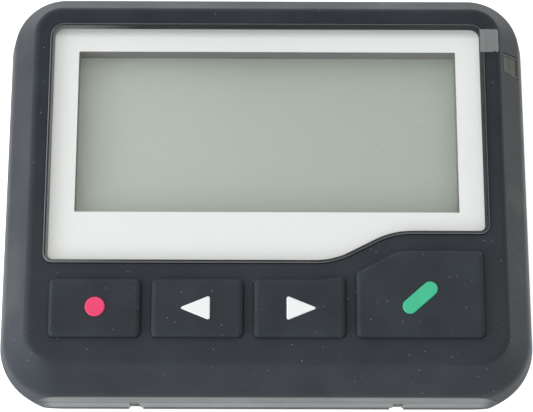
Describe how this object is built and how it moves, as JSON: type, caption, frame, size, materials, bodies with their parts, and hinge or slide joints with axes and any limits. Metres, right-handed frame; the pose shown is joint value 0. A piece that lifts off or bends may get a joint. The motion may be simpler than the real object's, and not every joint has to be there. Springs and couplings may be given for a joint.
{
  "type": "pager",
  "caption": "Landscape pocket text pager with a wide stepped display window, a row of soft keys, an alert light, charging contacts and a sprung belt clip behind.",
  "frame": {"origin": "centre of the outline, on the plane of the belt clip's outer face, which is what the pager lies on", "axes": "+X to the right of the display, +Y to the top of the display, +Z out of the display"},
  "size_m": [0.0846, 0.0674, 0.026],
  "materials": {
    "case_plastic": "fine satin texture",
    "lens_acrylic": "clear hard-coated acrylic",
    "lens_print": "white ink printed behind the lens",
    "black_foam": "matte",
    "gasket_foam": "soft grey",
    "cover_film": "thin tinted film",
    "smoke_window": "translucent",
    "key_rubber": "matte",
    "legend_red": "matte",
    "legend_green": "matte",
    "legend_white": "matte",
    "silicone": "matte",
    "carbon": "matte",
    "lcd_film": "satin",
    "lcd_glass": "polished",
    "light_guide": "clear acrylic",
    "white_plastic": "matte",
    "pcb": "solder mask",
    "chip": "moulded",
    "led": "clear",
    "tinned_steel": "tinned",
    "plated_strip": "plated",
    "screw_steel": "zinc plated",
    "spring_steel": "drawn wire",
    "gold_contact": "gold plated",
    "battery_wrap": "shrink wrap",
    "wire_sleeve": "soft",
    "tungsten": "sintered",
    "blank_label": "blank film"
  },
  "bodies": {
    "case": {"front_shell": "case_plastic", "rear_shell": "case_plastic", "display_lens": "lens_acrylic", "lens_print_frame": "lens_print", "lens_tape": "black_foam", "protective_film": "cover_film", "alert_light_window": "smoke_window", "alert_led": "led", "keypad_mat": "silicone", "lcd_frame": "white_plastic", "lcd_reflector": "white_plastic", "backlight_guide": "light_guide", "lcd_diffuser": "white_plastic", "lcd_rear_glass": "lcd_glass", "lcd_front_glass": "lcd_glass", "lcd_polariser": "lcd_film", "zebra_strip": "carbon", "dust_gasket": "gasket_foam", "backlight_leds": "led", "main_pcb": "pcb", "pcb_screws": "screw_steel", "processor_chip": "chip", "radio_shield": "tinned_steel", "crystal_can": "tinned_steel", "loop_antenna": "plated_strip", "buzzer": "chip", "motor_can": "tinned_steel", "motor_cradle": "black_foam", "motor_leads": "wire_sleeve", "battery_pad": "black_foam", "battery_pack": "battery_wrap", "battery_connector": "white_plastic", "battery_leads": "wire_sleeve", "charge_contacts": "gold_contact", "case_screws": "screw_steel", "rear_label": "blank_label", "key_web_red_dot": "silicone", "key_web_left_arrow": "silicone", "key_web_right_arrow": "silicone", "key_web_green_bar": "silicone"},
    "clip": {"belt_clip": "case_plastic", "clip_pin": "spring_steel", "clip_spring": "spring_steel"},
    "motor_rotor": {"motor_shaft": "spring_steel", "motor_weight": "tungsten"},
    "red_dot_key": {"key_red_dot": "key_rubber", "legend_red_dot": "legend_red", "contact_pill_red_dot": "carbon"},
    "left_arrow_key": {"key_left_arrow": "key_rubber", "legend_left_arrow": "legend_white", "contact_pill_left_arrow": "carbon"},
    "right_arrow_key": {"key_right_arrow": "key_rubber", "legend_right_arrow": "legend_white", "contact_pill_right_arrow": "carbon"},
    "green_bar_key": {"key_green_bar": "key_rubber", "legend_green_bar": "legend_green", "contact_pill_green_bar": "carbon"}
  },
  "joints": [
    {"name": "red_dot_press", "type": "slide", "parent": "case", "child": "red_dot_key", "axis": [0, 0, -1], "range_m": [0, 0.00075], "stiffness_N_per_m": 1000, "springref_m": -0.0005, "deforming": ["key_web_red_dot"]},
    {"name": "left_arrow_press", "type": "slide", "parent": "case", "child": "left_arrow_key", "axis": [0, 0, -1], "range_m": [0, 0.00075], "stiffness_N_per_m": 1000, "springref_m": -0.0005, "deforming": ["key_web_left_arrow"]},
    {"name": "right_arrow_press", "type": "slide", "parent": "case", "child": "right_arrow_key", "axis": [0, 0, -1], "range_m": [0, 0.00075], "stiffness_N_per_m": 1000, "springref_m": -0.0005, "deforming": ["key_web_right_arrow"]},
    {"name": "green_bar_press", "type": "slide", "parent": "case", "child": "green_bar_key", "axis": [0, 0, -1], "range_m": [0, 0.00075], "stiffness_N_per_m": 1000, "springref_m": -0.0005, "deforming": ["key_web_green_bar"]},
    {"name": "clip_hinge", "type": "hinge", "parent": "case", "child": "clip", "pos_m": [0, 0.013, 0.0046], "axis": [1, 0, 0], "range_deg": [0, 14], "stiffness_Nm_per_rad": 0.12, "springref_deg": -57.3},
    {"name": "motor_spin", "type": "hinge", "parent": "case", "child": "motor_rotor", "pos_m": [0, -0.0265, 0.012], "axis": [1, 0, 0], "continuous": true}
  ]
}
